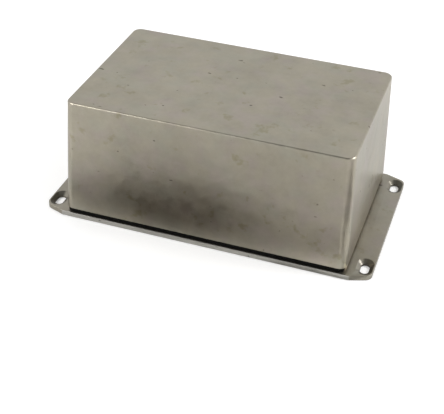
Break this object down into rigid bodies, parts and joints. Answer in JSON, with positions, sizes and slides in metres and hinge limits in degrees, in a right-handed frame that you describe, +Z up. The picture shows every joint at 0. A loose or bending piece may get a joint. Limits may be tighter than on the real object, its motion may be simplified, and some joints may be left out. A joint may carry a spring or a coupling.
{
  "type": "aluminum enclosure",
  "caption": "Die-cast aluminium box with drafted walls, standing closed face up on a screwed lid whose two tapered ears carry flared mounting slots.",
  "frame": {"origin": "centre of the underside of the lid, on the surface that the enclosure stands on", "axes": "+X along the length from ear to ear, +Y across the width towards the back long side, +Z up from the lid towards the closed face"},
  "size_m": [0.2182, 0.1212, 0.0833],
  "materials": {
    "cast_body": "raw die-cast, tumbled",
    "cast_lid": "raw die-cast, tumbled",
    "gasket_rubber": "matte black moulded",
    "screw_steel": "zinc plated"
  },
  "bodies": {
    "root": {"enclosure_body": "cast_body", "flanged_lid": "cast_lid", "lid_gasket": "gasket_rubber", "lid_screw_front_left": "screw_steel", "lid_screw_front_middle": "screw_steel", "lid_screw_front_right": "screw_steel", "lid_screw_back_left": "screw_steel", "lid_screw_back_middle": "screw_steel", "lid_screw_back_right": "screw_steel"}
  },
  "joints": []
}
